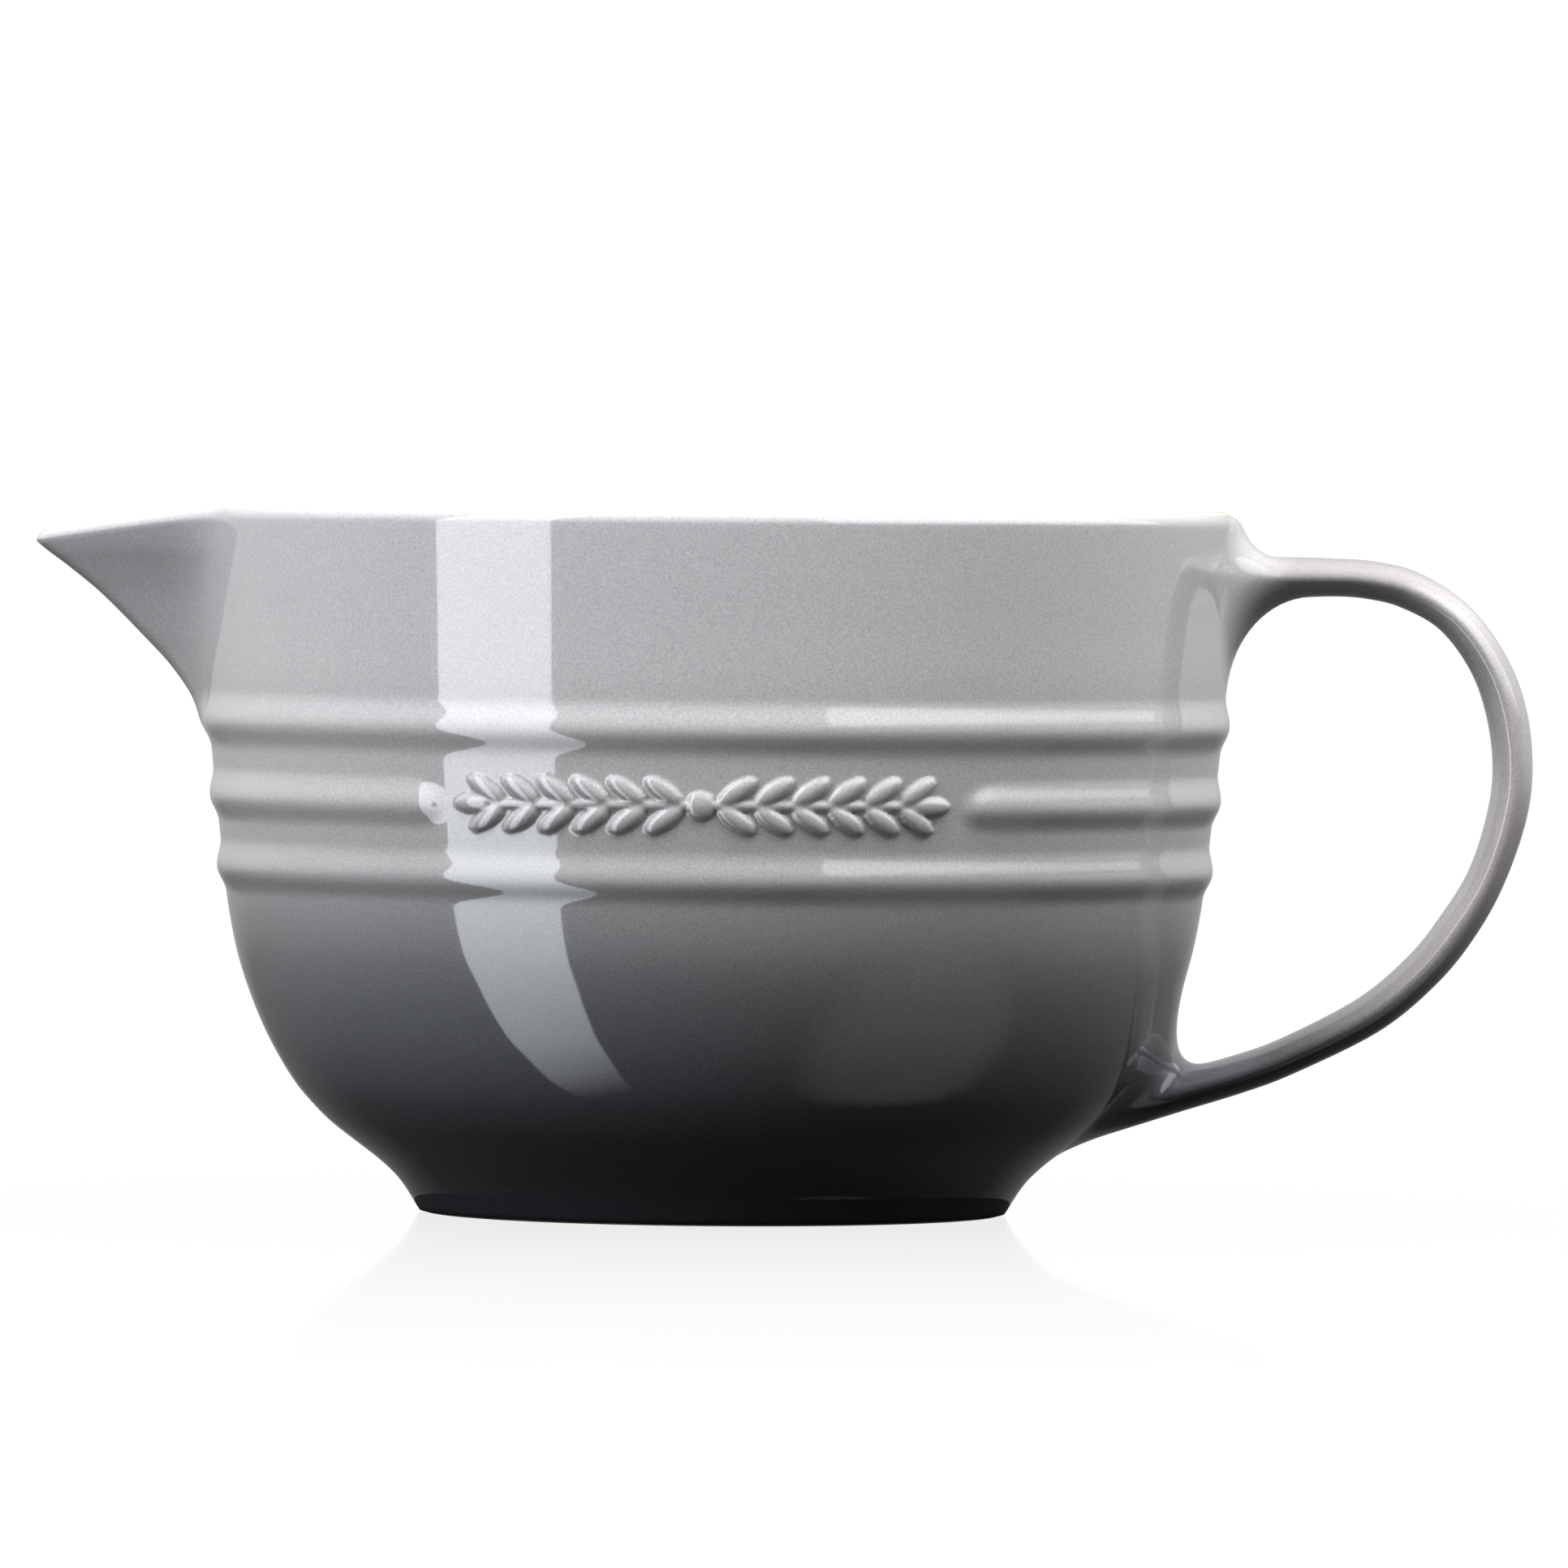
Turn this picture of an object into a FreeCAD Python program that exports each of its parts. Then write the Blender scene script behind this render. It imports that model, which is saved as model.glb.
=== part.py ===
import FreeCAD, Part
import math
import os

# A glazed stoneware batter bowl: a round bowl with three soft bands, a V spout
# and a loop handle.  Millimetres.  The origin is the centre of the foot on the
# resting plane, +Z is up, +X points at the handle and -X at the spout.  The
# ornament sits on the -Y side.

os.makedirs("parts", exist_ok=True)
Vector = FreeCAD.Vector
AXIS = Vector(0, 0, 1)
ORIGIN = Vector(0, 0, 0)

# ---------------------------------------------------------------- dimensions
GLAZE = 0.5            # thickness of every fired glaze coat
LUTE = 0.9             # thickness of the slip joints
RIM_TOP = 129.8
RIM_ROUND = 2.65       # height of the rim rounding
RIM_COLOUR_BREAK = 48  # degrees up the outer rounding where the liner glaze starts
CRUMB = 1.0            # cubic millimetres

# Outside of the wall without its bands: height, radius.
WALL_OUTLINE = [
    (0.3, 54.0), (5.9, 57.7), (9.4, 61.3), (13.0, 66.0), (16.5, 70.5),
    (20.1, 74.1), (23.7, 77.1), (29.0, 80.4), (34.5, 83.2), (41.5, 86.0),
    (48.5, 88.1), (57.6, 89.8), (68.8, 91.1), (81.5, 92.5), (95.0, 93.8),
    (110.0, 94.4), (127.2, 95.2),
]
# Inside of the wall above the curve of the floor: height, radius.
LINER_OUTLINE = [
    (58.0, 84.4), (69.2, 85.8), (82.0, 87.1), (95.0, 88.4), (110.0, 89.1), (127.2, 89.9),
]
# Floor and lower inside curve: radius, height.
FLOOR_OUTLINE = [
    (0.0, 8.4), (30.0, 8.6), (46.0, 10.0), (56.0, 13.4), (63.0, 17.8),
    (70.1, 24.2), (75.7, 31.8), (80.9, 43.3),
]
# Bands round the wall: crest height, half width, rise.
LOW_BAND = (63.3, 5.2, 1.0)
HIGH_BAND = (89.3, 6.3, 1.0)
# The middle band is a rounded bead that stops either side of the ornament on -Y.
BEAD_HEIGHT = 76.0
BEAD_RISE = 0.9
BEAD_CURVE = 12.7
WINDOW_CENTRE = -90.5
WINDOW_HALF = 33.0     # degrees to the centres of the bead's rounded ends

# Foot ring and recess under the base.
FOOT_OUTER = 52.9
FOOT_INNER = 47.0
RECESS_RADIUS = 45.0
RECESS_HEIGHT = 3.1

# Spout: reach of its keel from the bowl axis at each height.
KEEL = [
    (80.0, 78.0), (85.0, 84.0), (93.4, 93.9), (103.0, 103.3), (113.0, 113.3),
    (118.3, 119.8), (121.0, 123.5), (122.6, 125.4), (125.0, 127.9), (127.2, 130.0),
]
SPOUT_HALF_ANGLE = math.radians(27)
SPOUT_NOSE = 5.0       # radius of the nose seen from above
SPOUT_NOSE_INSIDE = 2.2
SPOUT_WALL = 5.84      # wall thickness measured level
SPOUT_LEAN = 0.925     # level share of a step square to the spout's sides
SPOUT_BLEND = 9.0
SPOUT_DROP = 0.1375    # fall of the rim for each millimetre of reach
SPOUT_STATIONS = [0, 1, 2, 3, 4.5, 6.5, 8.5, 10, 11, 12, 13, 14, 15, 16.5, 18.5, 21, 24]
SPOUT_LOW = 84.0
# The V-shaped opening that the spout is set into, seen along X: half width, height.
OPENING_BOTTOM = (4.7, 86.0)
OPENING_TOP = (34.0, 134.0)

# Handle: outer edge x, z, then inner edge x, z, then half width.
HANDLE_STATIONS = [
    (91.0, 129.0, 91.0, 90.0, 15.5),
    (94.6, 128.7, 94.6, 98.0, 15.0),
    (96.8, 127.6, 96.8, 105.4, 13.4),
    (98.8, 124.7, 99.2, 109.0, 11.8),
    (102.0, 122.2, 102.6, 111.6, 10.6),
    (107.0, 121.8, 107.4, 113.9, 9.8),
    (114.0, 121.5, 113.8, 114.5, 9.5),
    (121.2, 121.0, 119.6, 114.1, 9.5),
    (129.2, 119.0, 125.8, 112.6, 9.5),
    (138.1, 113.3, 133.0, 108.6, 9.5),
    (145.0, 104.5, 138.6, 101.3, 9.5),
    (149.0, 94.8, 141.7, 93.0, 9.5),
    (150.4, 84.0, 143.0, 83.6, 9.5),
    (149.4, 73.9, 142.1, 75.0, 9.5),
    (145.4, 61.9, 138.9, 64.6, 9.5),
    (140.1, 52.1, 133.9, 56.2, 9.5),
    (133.1, 43.3, 128.0, 48.6, 9.5),
    (122.6, 34.5, 118.7, 40.6, 9.5),
    (107.0, 26.6, 104.8, 33.2, 9.5),
    (97.7, 22.8, 95.6, 29.8, 9.8),
    (90.7, 20.6, 88.6, 29.4, 10.4),
    (82.0, 18.2, 84.5, 35.0, 11.6),
    (73.5, 15.2, 81.5, 41.0, 12.4),
    (66.0, 15.2, 78.0, 44.0, 12.4),
]
HANDLE_POINTS = 16

# Ornament: a stem with two ears of grain running away from a centre bud.
MOTIF_HEIGHT = 76.8
MOTIF_PITCH = 6.6      # spacing of the grain pairs along the wall
MOTIF_PAIRS = 6
GRAIN_LENGTH = 8.0
GRAIN_HALF_WIDTH = 1.8
GRAIN_TILT = math.radians(34)
GRAIN_SUNK = 0.7       # how far the grain's axis lies behind the glazed wall
STEM_RADIUS = 1.3
STEM_SUNK = 0.5
BUD_RADIUS = 3.0
BUD_SUNK = 1.4


# ------------------------------------------------------------------- formulas
def curve_value(outline, at):
    """Reads a smooth curve through the outline's (position, value) pairs."""
    count = len(outline)
    k = 0
    while k < count - 2 and at > outline[k + 1][0]:
        k += 1

    def slope(i):
        a = outline[max(i - 1, 0)]
        b = outline[min(i + 1, count - 1)]
        return (b[1] - a[1]) / (b[0] - a[0])

    (x0, y0), (x1, y1) = outline[k], outline[k + 1]
    span = x1 - x0
    t = (at - x0) / span
    return (
        (1 + 2 * t) * (1 - t) ** 2 * y0
        + t * (1 - t) ** 2 * span * slope(k)
        + t * t * (3 - 2 * t) * y1
        + t * t * (t - 1) * span * slope(k + 1)
    )


def band_rise(band, z):
    crest, half_width, rise = band
    away = abs(z - crest) / half_width
    return rise * math.cos(math.pi / 2 * away) ** 2 if away < 1 else 0.0


def wall_radius(z, level=0.0):
    """Outside radius; level steps square off the surface."""
    def plain(height):
        bands = band_rise(LOW_BAND, height) + band_rise(HIGH_BAND, height)
        return curve_value(WALL_OUTLINE, height) + bands

    slope = (plain(z + 0.05) - plain(z - 0.05)) / 0.1
    return plain(z) + level * math.hypot(1, slope)


def liner_radius(z, level=0.0):
    return curve_value(LINER_OUTLINE, z) - level


def vee_reach(angle, centre, nose):
    """Distance along a level ray to a rounded V whose nose circle sits at centre."""
    sine = math.sin(SPOUT_HALF_ANGLE)
    cosine = math.cos(SPOUT_HALF_ANGLE)
    tangent = math.atan2(nose * cosine, centre + nose * sine)
    if angle <= tangent:
        return centre * math.cos(angle) + math.sqrt(nose ** 2 - (centre * math.sin(angle)) ** 2)
    return (nose + centre * sine) / (sine * math.cos(angle) + cosine * math.sin(angle))


def blended_reach(a, b):
    share = max(SPOUT_BLEND - abs(a - b), 0) / SPOUT_BLEND
    return max(a, b) + share * share * SPOUT_BLEND / 4


def outside_reach(degrees_off, z, level):
    """Outer surface of bowl and spout together, degrees_off measured from -X."""
    centre = curve_value(KEEL, z) - SPOUT_NOSE
    vee = vee_reach(math.radians(abs(degrees_off)), centre, SPOUT_NOSE + level / SPOUT_LEAN)
    return blended_reach(wall_radius(z, level), vee)


def inside_reach(degrees_off, z, level):
    centre = curve_value(KEEL, z) - SPOUT_NOSE
    step_back = (SPOUT_WALL + SPOUT_NOSE_INSIDE - SPOUT_NOSE) / math.sin(SPOUT_HALF_ANGLE)
    nose = SPOUT_NOSE_INSIDE - level / SPOUT_LEAN
    vee = vee_reach(math.radians(abs(degrees_off)), centre - step_back, nose)
    return blended_reach(liner_radius(z, level), vee)


# ------------------------------------------------------------ small geometry
def at_angle(degrees, radius, z):
    turn = math.radians(degrees)
    return Vector(radius * math.cos(turn), radius * math.sin(turn), z)


def line(a, b):
    return Part.LineSegment(a, b).toShape()


def smooth_edge(points, even=False):
    """A curve through the points; even spacing lets neighbouring sections loft cleanly."""
    curve = Part.BSplineCurve()
    if even:
        last = len(points) - 1
        curve.interpolate(Points=points, Parameters=[k / last for k in range(last + 1)])
    else:
        curve.interpolate(points)
    return curve.toShape()


def closed(edges):
    return Part.Wire(edges)


def spin(wire, degrees=360):
    return Part.Face(wire).revolve(ORIGIN, AXIS, degrees)


def solid_of(shape):
    """The one solid in a shape, without crumbs left where two curves run side by side."""
    solids = [s for s in shape.Solids if s.Volume > CRUMB]
    if len(solids) == 1:
        return solids[0]
    return Part.makeCompound(solids)


def joined(shapes):
    return solid_of(shapes[0].fuse(shapes[1:]).removeSplitter())


# ------------------------------------------------------------- wall sections
def steps(low, high, count):
    return [low + (high - low) * k / count for k in range(count + 1)]


SPRING = RIM_TOP - RIM_ROUND
WALL_HEIGHTS = (
    [0.3, 3.2, 5.9, 9.4, 13.0, 16.5, 20.1, 23.7, 29.0, 34.5, 41.5, 48.5, 53.5]
    + steps(57.0, 69.0, 8)
    + [72.0, 76.0, 79.5]
    + steps(82.0, 97.0, 10)
    + [101.0, 106.0, 112.0, 119.0, SPRING]
)
LINER_HEIGHTS = [58.0, 69.2, 82.0, 95.0, 104.0, 115.0, SPRING]


def outside_curve(level):
    return [at_angle(0, wall_radius(z, level), z) for z in WALL_HEIGHTS]


def inside_curve(level):
    """Floor and inside wall, stepped off the surface by level."""
    points = []
    for k, (radius, z) in enumerate(FLOOR_OUTLINE):
        before = FLOOR_OUTLINE[max(k - 1, 0)]
        after = (FLOOR_OUTLINE + [tuple(reversed(LINER_OUTLINE[0]))])[k + 1]
        run = after[0] - before[0]
        climb = after[1] - before[1]
        if k == 0:
            run, climb = 1.0, 0.0
        length = math.hypot(run, climb)
        points.append(Vector(radius - level * climb / length, 0, z + level * run / length))
    return points + [at_angle(0, liner_radius(z, level), z) for z in LINER_HEIGHTS]


def rim_curve(degrees, outer, inner, spring, level, turns):
    """Points over the rim; turns are degrees from the outside to the inside."""
    middle = (outer + inner) / 2
    half = (outer - inner) / 2
    return [
        at_angle(
            degrees,
            middle + half * math.cos(math.radians(turn)),
            spring + (RIM_ROUND + level) * math.sin(math.radians(turn)),
        )
        for turn in turns
    ]


def plain_rim(level, turns):
    return rim_curve(
        0, wall_radius(SPRING, level), liner_radius(SPRING, level), SPRING, level, turns
    )


def spout_curves(degrees_off, level):
    """Outside, inside and rim of the spout's section at an angle from -X."""
    lift = outside_reach(degrees_off, 124.0, 0) - wall_radius(124.0)
    spring = SPRING - SPOUT_DROP * lift
    heights = steps(SPOUT_LOW, spring, 20)
    degrees = 180 + degrees_off
    outside = [at_angle(degrees, outside_reach(degrees_off, z, level), z) for z in heights]
    inside = [at_angle(degrees, inside_reach(degrees_off, z, level), z) for z in heights]
    outer = outside_reach(degrees_off, spring, level)
    inner = inside_reach(degrees_off, spring, level)

    def rim(turns):
        return rim_curve(degrees, outer, inner, spring, level, turns)

    return outside, inside, rim


def coat_edges(coat, bare, coat_top, bare_top, even):
    """Edges of a thin coat that runs up a wall and ends on the rim."""
    return [
        smooth_edge(coat, even),
        smooth_edge(coat_top, even),
        line(coat_top[-1], bare_top[-1]),
        smooth_edge(list(reversed(bare_top)), even),
        smooth_edge(list(reversed(bare)), even),
        line(bare[0], coat[0]),
    ]


OUTER_TURNS = steps(0, RIM_COLOUR_BREAK, 4)
INNER_TURNS = list(reversed(steps(RIM_COLOUR_BREAK, 180, 6)))


def spout_wire(piece, degrees_off):
    bare_out, bare_in, bare_rim = spout_curves(degrees_off, -GLAZE)
    if piece == "clay":
        return closed([
            smooth_edge(bare_out, True),
            smooth_edge(bare_rim(steps(0, 180, 8)), True),
            smooth_edge(list(reversed(bare_in)), True),
            line(bare_in[0], bare_out[0]),
        ])
    coat_out, coat_in, coat_rim = spout_curves(degrees_off, 0)
    if piece == "outside coat":
        return closed(coat_edges(
            coat_out, bare_out, coat_rim(OUTER_TURNS), bare_rim(OUTER_TURNS), True
        ))
    return closed(coat_edges(
        coat_in, bare_in, coat_rim(INNER_TURNS), bare_rim(INNER_TURNS), True
    ))


def spout_block(piece):
    offsets = [-d for d in reversed(SPOUT_STATIONS)] + SPOUT_STATIONS[1:]
    return Part.makeLoft([spout_wire(piece, d) for d in offsets], True, False)


def round_clay():
    outside = outside_curve(-GLAZE)
    inside = inside_curve(-GLAZE)
    corners = [
        inside[0],
        Vector(0, 0, RECESS_HEIGHT),
        Vector(RECESS_RADIUS, 0, RECESS_HEIGHT),
        Vector(FOOT_INNER, 0, 0),
        Vector(FOOT_OUTER, 0, 0),
        outside[0],
    ]
    edges = [
        smooth_edge(outside),
        smooth_edge(plain_rim(-GLAZE, steps(0, 180, 8))),
        smooth_edge(list(reversed(inside))),
    ]
    edges += [line(a, b) for a, b in zip(corners, corners[1:])]
    return spin(closed(edges))


def round_coat(curve, turns):
    """Coat on the round bowl between the clay and the finished surface."""
    edges = coat_edges(
        curve(0), curve(-GLAZE), plain_rim(0, turns), plain_rim(-GLAZE, turns), False
    )
    return spin(closed(edges))


def filled_bowl(level):
    """The round bowl as a filled block, used to trim what is pressed on to it."""
    side = outside_curve(level)
    rounding = plain_rim(level, steps(0, 90, 5))
    top = Vector(0, 0, rounding[-1].z)
    bottom = Vector(0, 0, side[0].z)
    return spin(closed([
        smooth_edge(side),
        smooth_edge(rounding),
        line(rounding[-1], top),
        line(top, bottom),
        line(bottom, side[0]),
    ]))


def middle_bead(level):
    """The middle band as a bent rod with round ends, mostly buried in the wall."""
    slope = (wall_radius(BEAD_HEIGHT + 1) - wall_radius(BEAD_HEIGHT - 1)) / 2
    length = math.hypot(1, slope)
    depth = BEAD_CURVE - BEAD_RISE
    radius = wall_radius(BEAD_HEIGHT) - depth / length
    height = BEAD_HEIGHT + depth * slope / length
    sweep = 360 - 2 * WINDOW_HALF
    rod = Part.makeTorus(
        radius, BEAD_CURVE + level, Vector(0, 0, height), AXIS, -180, 180, sweep
    )
    rod.rotate(ORIGIN, AXIS, WINDOW_CENTRE + WINDOW_HALF)
    ends = []
    for way in (1, -1):
        end = Part.makeSphere(BEAD_CURVE + level)
        end.translate(at_angle(WINDOW_CENTRE + way * WINDOW_HALF, radius, height))
        ends.append(end)
    return rod.fuse(ends)


# --------------------------------------------------------------------- handle
def handle_section(station, level):
    outer_x, outer_z, inner_x, inner_z, half_width = station
    centre = Vector((outer_x + inner_x) / 2, 0, (outer_z + inner_z) / 2)
    across = Vector(outer_x - inner_x, 0, outer_z - inner_z)
    half_depth = across.Length / 2 + level
    across.normalize()
    points = []
    for k in range(HANDLE_POINTS):
        turn = 2 * math.pi * k / HANDLE_POINTS
        deep = math.cos(turn)
        wide = math.sin(turn)
        side = Vector(0, (half_width + level) * wide, 0)
        points.append(centre + across * (half_depth * deep) + side)
    curve = Part.BSplineCurve()
    curve.interpolate(
        Points=points,
        PeriodicFlag=True,
        Parameters=[k / HANDLE_POINTS for k in range(HANDLE_POINTS + 1)],
    )
    return closed([curve.toShape()])


def handle_bar(level):
    return Part.makeLoft([handle_section(s, level) for s in HANDLE_STATIONS], True, False)


# -------------------------------------------------------------------- ornament
def grain(along, up, tilt):
    """One seed-shaped grain lying on the wall."""
    half_length = GRAIN_LENGTH / 2
    half_width = GRAIN_HALF_WIDTH
    arc = Part.Arc(
        Vector(-half_length, 0, 0), Vector(0, half_width, 0), Vector(half_length, 0, 0)
    ).toShape()
    wire = closed([arc, line(Vector(half_length, 0, 0), Vector(-half_length, 0, 0))])
    seed = Part.Face(wire).revolve(ORIGIN, Vector(1, 0, 0), 360)
    seed.rotate(ORIGIN, Vector(0, 1, 0), -math.degrees(tilt))
    z = MOTIF_HEIGHT + up
    radius = wall_radius(z) - GRAIN_SUNK
    seed.translate(Vector(0, -radius, z))
    turn = math.degrees(along / radius)
    seed.rotate(ORIGIN, AXIS, WINDOW_CENTRE + 90 + turn)
    return seed


def motif():
    radius = wall_radius(MOTIF_HEIGHT) - STEM_SUNK
    reach = math.degrees(MOTIF_PITCH * MOTIF_PAIRS / radius)
    stem = Part.makeTorus(
        radius, STEM_RADIUS, Vector(0, 0, MOTIF_HEIGHT), AXIS, -180, 180, 2 * reach
    )
    stem.rotate(ORIGIN, AXIS, WINDOW_CENTRE - reach)
    bud = Part.makeSphere(BUD_RADIUS)
    bud.translate(at_angle(WINDOW_CENTRE, radius - BUD_SUNK, MOTIF_HEIGHT))
    pieces = [stem, bud]
    for way in (1, -1):
        for pair in range(MOTIF_PAIRS):
            root = 3.2 + MOTIF_PITCH * pair
            along = root + GRAIN_LENGTH / 2 * math.cos(GRAIN_TILT)
            up = 0.1 + GRAIN_LENGTH / 2 * math.sin(GRAIN_TILT)
            pieces.append(grain(way * along, up, way * GRAIN_TILT))
            pieces.append(grain(way * along, -up, -way * GRAIN_TILT))
        tip = MOTIF_PITCH * MOTIF_PAIRS + GRAIN_LENGTH * 0.3
        pieces.append(grain(way * tip, 0, 0))
    return joined(pieces)


# ---------------------------------------------------------------------- build
def vee_block(clearance):
    """The opening that the spout piece is set into, less clearance all round."""
    low_half, low = OPENING_BOTTOM
    high_half, high = OPENING_TOP
    corners = [
        Vector(-60, clearance - low_half, low + clearance),
        Vector(-60, low_half - clearance, low + clearance),
        Vector(-60, high_half - clearance, high),
        Vector(-60, clearance - high_half, high),
    ]
    face = Part.Face(Part.makePolygon(corners + corners[:1]))
    return face.extrude(Vector(-80, 0, 0))


opening = vee_block(0.0)
plug = vee_block(LUTE)

bare_bead = middle_bead(-GLAZE)
round_body = joined([round_clay(), bare_bead.cut(filled_bowl(-2.5))])
bowl_body = solid_of(round_body.cut(opening))
spout_clay = spout_block("clay")
spout = solid_of(spout_clay.common(plug))
spout_lute = solid_of(spout_clay.common(opening).cut(plug))

bare_bar = handle_bar(-GLAZE)
coated_bar = handle_bar(0)
bare_block = filled_bowl(-GLAZE)
joint_block = filled_bowl(LUTE - GLAZE)
coated_block = filled_bowl(0)
handle = solid_of(bare_bar.cut(joint_block))
lutes = sorted(
    bare_bar.common(joint_block).cut(bare_block).Solids, key=lambda s: s.BoundBox.ZMax
)
handle_glaze = solid_of(coated_bar.cut(bare_bar).cut(coated_block))
relief_sprig = solid_of(motif().cut(coated_block))

bead_coat = middle_bead(0).cut(filled_bowl(-GLAZE / 2))
round_coat_outside = round_coat(outside_curve, OUTER_TURNS).fuse(bead_coat)
round_coat_outside = round_coat_outside.cut([bare_bead, bare_bar, opening])
spout_coat_outside = spout_block("outside coat").common(opening)
exterior_glaze = solid_of(Part.makeCompound([round_coat_outside, spout_coat_outside]))
round_coat_inside = round_coat(inside_curve, INNER_TURNS).cut(opening)
spout_coat_inside = spout_block("inside coat").common(opening)
interior_glaze = solid_of(Part.makeCompound([round_coat_inside, spout_coat_inside]))
recess = Part.makeCone(RECESS_RADIUS + 0.3, RECESS_RADIUS, GLAZE)
recess.translate(Vector(0, 0, RECESS_HEIGHT - GLAZE))
base_glaze = solid_of(recess.cut(round_body))

nodes = {
    "bowl_body": bowl_body,
    "spout": spout,
    "spout_lute": spout_lute,
    "handle": handle,
    "handle_upper_lute": lutes[-1],
    "handle_lower_lute": lutes[0],
    "relief_sprig": relief_sprig,
    "exterior_glaze": exterior_glaze,
    "interior_glaze": interior_glaze,
    "handle_glaze": handle_glaze,
    "base_glaze": base_glaze,
}
for name, shape in nodes.items():
    shape.exportStep("parts/" + name + ".step")
    box = shape.BoundBox
    print(name, shape.ShapeType, len(shape.Solids), shape.isValid(), round(shape.Volume),
          [round(v, 1) for v in (box.XMin, box.XMax, box.YMin, box.YMax, box.ZMin, box.ZMax)])
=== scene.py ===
import math

import bpy
import numpy as np
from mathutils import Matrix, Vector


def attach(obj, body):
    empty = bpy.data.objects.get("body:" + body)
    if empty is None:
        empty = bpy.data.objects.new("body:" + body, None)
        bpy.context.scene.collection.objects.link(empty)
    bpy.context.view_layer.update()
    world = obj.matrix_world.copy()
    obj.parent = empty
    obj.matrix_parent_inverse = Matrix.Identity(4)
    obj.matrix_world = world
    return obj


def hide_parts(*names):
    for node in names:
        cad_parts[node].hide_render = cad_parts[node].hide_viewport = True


# A glazed stoneware batter bowl.  Shapes are worked out in millimetres in the
# frame of the CAD model and turned into metres when a mesh is made.

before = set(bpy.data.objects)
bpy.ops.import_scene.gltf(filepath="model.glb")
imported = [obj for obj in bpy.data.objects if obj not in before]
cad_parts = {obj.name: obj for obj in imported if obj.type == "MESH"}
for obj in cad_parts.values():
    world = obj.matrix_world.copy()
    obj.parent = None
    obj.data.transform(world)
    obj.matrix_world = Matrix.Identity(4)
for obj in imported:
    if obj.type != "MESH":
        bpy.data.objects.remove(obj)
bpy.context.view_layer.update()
MM = 0.001
GLAZE = 0.5

# Outside of the wall without its bands: height, radius.
WALL = [
    (0.3, 54.0), (5.9, 57.7), (9.4, 61.3), (13.0, 66.0), (16.5, 70.5),
    (20.1, 74.1), (23.7, 77.1), (29.0, 80.4), (34.5, 83.2), (41.5, 86.0),
    (48.5, 88.1), (57.6, 89.8), (68.8, 91.1), (81.5, 92.5), (95.0, 93.8),
    (110.0, 94.4), (127.2, 95.17),
]
# Inside of the wall: height, radius.
LINER = [
    (58.0, 84.4), (69.2, 85.8), (82.0, 87.1), (95.0, 88.4), (110.0, 89.1), (127.2, 89.9),
]
# Inside of the floor: radius, height.
FLOOR = [
    (0.0, 9.0), (30.0, 9.05), (46.0, 10.2), (56.0, 13.4), (63.0, 17.8),
    (70.1, 24.2), (75.7, 31.8), (80.9, 43.3),
]
# Bands: crest height, half width below the crest, half width above it, rise.
LOW_BAND = (63.1, 4.4, 5.6, 1.2)
MIDDLE_BAND = (76.2, 4.5, 5.6, 1.15)
HIGH_BAND = (90.0, 4.7, 5.8, 1.2)
# The middle band stops short of the ornament: centre and half width of the gap in
# degrees round the bowl, and the length in degrees of the band's rounded ends.
WINDOW_CENTRE = -90.5
WINDOW_HALF = 30.2
BAND_END = 3.6
BAND_END_SHIFT = 0.15

RIM_TOP = 129.8
RIM_ROUND = 2.65
SPRING = RIM_TOP - RIM_ROUND
RIM_COLOUR_BREAK = 48      # degrees up the rounding of the rim, where grey meets cream

# Spout: reach of its keel from the bowl axis at each height.
KEEL = [
    (80.0, 78.0), (85.0, 84.0), (93.4, 93.9), (103.0, 103.3), (113.0, 113.3),
    (118.3, 119.8), (121.0, 123.5), (122.6, 125.4), (125.0, 127.9), (127.2, 130.0),
]
KEEL_FOOT = 80.0
KEEL_TOP = 127.5
SPOUT_HALF_ANGLE = math.radians(27)
SPOUT_NOSE = 5.0           # radius of the keel outside, then inside
SPOUT_NOSE_INSIDE = 2.2
SPOUT_WALL = 5.84          # thickness of its sides
SPOUT_LEAN = 0.925         # turns a thickness square to the keel into a level one
SPOUT_BLEND = 9.0          # size of the soft crease between spout and wall
SPOUT_DROP = 0.1375        # fall of the rim for each millimetre out along the spout
SPOUT_DROP_AT = 124.0      # height at which that distance is measured
SPOUT_LOW = 84.0           # the rows of the upper wall start here
SPOUT_REACH = 60           # degrees either side, past which the spout has no part

# Handle without its flares: outer edge x, z, then inner edge x, z, then half width.
HANDLE = [
    (84.0, 121.6, 84.0, 114.2, 9.6),
    (95.0, 121.5, 95.0, 114.1, 9.6),
    (105.0, 121.7, 105.2, 114.2, 9.5),
    (114.0, 121.5, 113.8, 114.5, 9.5),
    (121.2, 121.0, 119.6, 114.1, 9.5),
    (129.2, 119.0, 125.8, 112.6, 9.5),
    (138.1, 113.3, 133.0, 108.6, 9.5),
    (145.0, 104.5, 138.6, 101.3, 9.5),
    (149.0, 94.8, 141.7, 93.0, 9.5),
    (150.38, 84.0, 143.0, 83.6, 9.5),
    (149.4, 73.9, 142.1, 75.0, 9.5),
    (145.4, 61.9, 138.9, 64.6, 9.5),
    (140.1, 52.1, 133.9, 56.2, 9.5),
    (133.1, 43.3, 128.0, 48.6, 9.5),
    (122.6, 34.5, 118.7, 40.6, 9.5),
    (107.0, 26.6, 104.8, 33.2, 9.5),
    (97.7, 23.0, 95.4, 29.7, 9.6),
    (86.0, 19.3, 83.6, 26.5, 9.8),
    (72.0, 14.8, 69.4, 22.2, 10.0),
    (54.0, 9.0, 51.4, 16.4, 10.0),
]
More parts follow.
